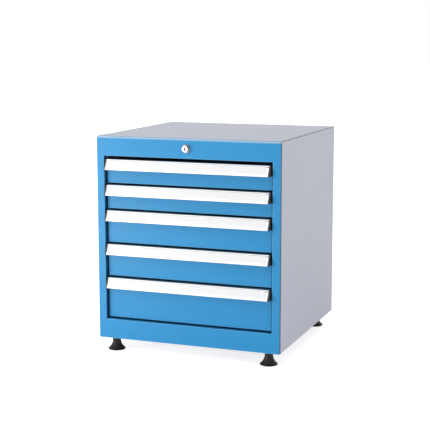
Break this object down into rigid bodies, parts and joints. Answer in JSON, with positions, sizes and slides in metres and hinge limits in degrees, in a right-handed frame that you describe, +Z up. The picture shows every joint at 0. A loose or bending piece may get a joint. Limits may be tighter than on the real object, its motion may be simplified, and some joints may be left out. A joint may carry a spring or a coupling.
{
  "type": "drawer cabinet",
  "caption": "Sheet steel cabinet with a blue front, grey casing, drawers on telescopic rails with full-width grips, a central lock and levelling feet.",
  "frame": {"origin": "on the floor, under the middle of the cabinet's bounding box", "axes": "+X to the right seen from the front, the drawer fronts face -Y, +Z up"},
  "size_m": [0.56, 0.584, 0.64],
  "materials": {
    "blue_paint": "satin powder coat",
    "grey_paint": "fine textured powder coat",
    "tray_paint": "smooth powder coat",
    "rail_steel": "zinc plated",
    "handle_aluminium": "pale satin anodised extrusion",
    "label_plastic": "blank white strip",
    "black_plastic": "moulded",
    "lock_chrome": "polished nickel",
    "foot_plastic": "moulded, slightly grained"
  },
  "bodies": {
    "casing": {"front_frame": "blue_paint", "right_side_panel": "grey_paint", "left_side_panel": "grey_paint", "top_panel": "grey_paint", "bottom_panel": "grey_paint", "back_panel": "grey_paint", "back_rivets": "rail_steel", "uprights": "rail_steel", "cabinet_rails": "rail_steel", "lock_housing": "lock_chrome", "lock_nut": "lock_chrome", "lock_guides": "black_plastic", "foot_sockets": "rail_steel"},
    "lock": {"lock_plug": "lock_chrome", "lock_spindle": "rail_steel"},
    "lock_bar": {"lock_bar": "rail_steel"},
    "foot_front_left": {"foot_front_left_pad": "foot_plastic", "foot_front_left_stud": "rail_steel"},
    "foot_front_right": {"foot_front_right_pad": "foot_plastic", "foot_front_right_stud": "rail_steel"},
    "foot_rear_left": {"foot_rear_left_pad": "foot_plastic", "foot_rear_left_stud": "rail_steel"},
    "foot_rear_right": {"foot_rear_right_pad": "foot_plastic", "foot_rear_right_stud": "rail_steel"},
    "drawer_1": {"drawer_1_tray": "tray_paint", "drawer_1_front": "blue_paint", "drawer_1_handle": "handle_aluminium", "drawer_1_handle_caps": "black_plastic", "drawer_1_label_strip": "label_plastic", "drawer_1_drawer_rails": "rail_steel"},
    "drawer_1_middle": {"drawer_1_middle_rails": "rail_steel"},
    "drawer_2": {"drawer_2_tray": "tray_paint", "drawer_2_front": "blue_paint", "drawer_2_handle": "handle_aluminium", "drawer_2_handle_caps": "black_plastic", "drawer_2_label_strip": "label_plastic", "drawer_2_drawer_rails": "rail_steel"},
    "drawer_2_middle": {"drawer_2_middle_rails": "rail_steel"},
    "drawer_3": {"drawer_3_tray": "tray_paint", "drawer_3_front": "blue_paint", "drawer_3_handle": "handle_aluminium", "drawer_3_handle_caps": "black_plastic", "drawer_3_label_strip": "label_plastic", "drawer_3_drawer_rails": "rail_steel"},
    "drawer_3_middle": {"drawer_3_middle_rails": "rail_steel"},
    "drawer_4": {"drawer_4_tray": "tray_paint", "drawer_4_front": "blue_paint", "drawer_4_handle": "handle_aluminium", "drawer_4_handle_caps": "black_plastic", "drawer_4_label_strip": "label_plastic", "drawer_4_drawer_rails": "rail_steel"},
    "drawer_4_middle": {"drawer_4_middle_rails": "rail_steel"},
    "drawer_5": {"drawer_5_tray": "tray_paint", "drawer_5_front": "blue_paint", "drawer_5_handle": "handle_aluminium", "drawer_5_handle_caps": "black_plastic", "drawer_5_label_strip": "label_plastic", "drawer_5_drawer_rails": "rail_steel"},
    "drawer_5_middle": {"drawer_5_middle_rails": "rail_steel"}
  },
  "joints": [
    {"name": "lock_turn", "type": "hinge", "parent": "casing", "child": "lock", "pos_m": [0, -0.278, 0.6115], "axis": [0, 1, 0], "range_deg": [0, 90]},
    {"name": "lock_bar_lift", "type": "slide", "parent": "casing", "child": "lock_bar", "axis": [0, 0, 1], "range_m": [0, 0.01796]},
    {"name": "foot_front_left_adjust", "type": "slide", "parent": "casing", "child": "foot_front_left", "axis": [0, 0, -1], "range_m": [-0.01, 0.01]},
    {"name": "foot_front_right_adjust", "type": "slide", "parent": "casing", "child": "foot_front_right", "axis": [0, 0, -1], "range_m": [-0.01, 0.01]},
    {"name": "foot_rear_left_adjust", "type": "slide", "parent": "casing", "child": "foot_rear_left", "axis": [0, 0, -1], "range_m": [-0.01, 0.01]},
    {"name": "foot_rear_right_adjust", "type": "slide", "parent": "casing", "child": "foot_rear_right", "axis": [0, 0, -1], "range_m": [-0.01, 0.01]},
    {"name": "drawer_1_slide", "type": "slide", "parent": "casing", "child": "drawer_1", "axis": [0, -1, 0], "range_m": [0, 0.45]},
    {"name": "drawer_1_middle_slide", "type": "slide", "parent": "casing", "child": "drawer_1_middle", "axis": [0, -1, 0], "range_m": [0, 0.225]},
    {"name": "drawer_2_slide", "type": "slide", "parent": "casing", "child": "drawer_2", "axis": [0, -1, 0], "range_m": [0, 0.45]},
    {"name": "drawer_2_middle_slide", "type": "slide", "parent": "casing", "child": "drawer_2_middle", "axis": [0, -1, 0], "range_m": [0, 0.225]},
    {"name": "drawer_3_slide", "type": "slide", "parent": "casing", "child": "drawer_3", "axis": [0, -1, 0], "range_m": [0, 0.45]},
    {"name": "drawer_3_middle_slide", "type": "slide", "parent": "casing", "child": "drawer_3_middle", "axis": [0, -1, 0], "range_m": [0, 0.225]},
    {"name": "drawer_4_slide", "type": "slide", "parent": "casing", "child": "drawer_4", "axis": [0, -1, 0], "range_m": [0, 0.45]},
    {"name": "drawer_4_middle_slide", "type": "slide", "parent": "casing", "child": "drawer_4_middle", "axis": [0, -1, 0], "range_m": [0, 0.225]},
    {"name": "drawer_5_slide", "type": "slide", "parent": "casing", "child": "drawer_5", "axis": [0, -1, 0], "range_m": [0, 0.45]},
    {"name": "drawer_5_middle_slide", "type": "slide", "parent": "casing", "child": "drawer_5_middle", "axis": [0, -1, 0], "range_m": [0, 0.225]}
  ],
  "couplings": [
    {"joint": "lock_turn", "follows": "lock_bar_lift", "rad_per_m": 87.458},
    {"joint": "drawer_1_middle_slide", "follows": "drawer_1_slide", "ratio": 0.5},
    {"joint": "drawer_2_middle_slide", "follows": "drawer_2_slide", "ratio": 0.5},
    {"joint": "drawer_3_middle_slide", "follows": "drawer_3_slide", "ratio": 0.5},
    {"joint": "drawer_4_middle_slide", "follows": "drawer_4_slide", "ratio": 0.5},
    {"joint": "drawer_5_middle_slide", "follows": "drawer_5_slide", "ratio": 0.5}
  ]
}
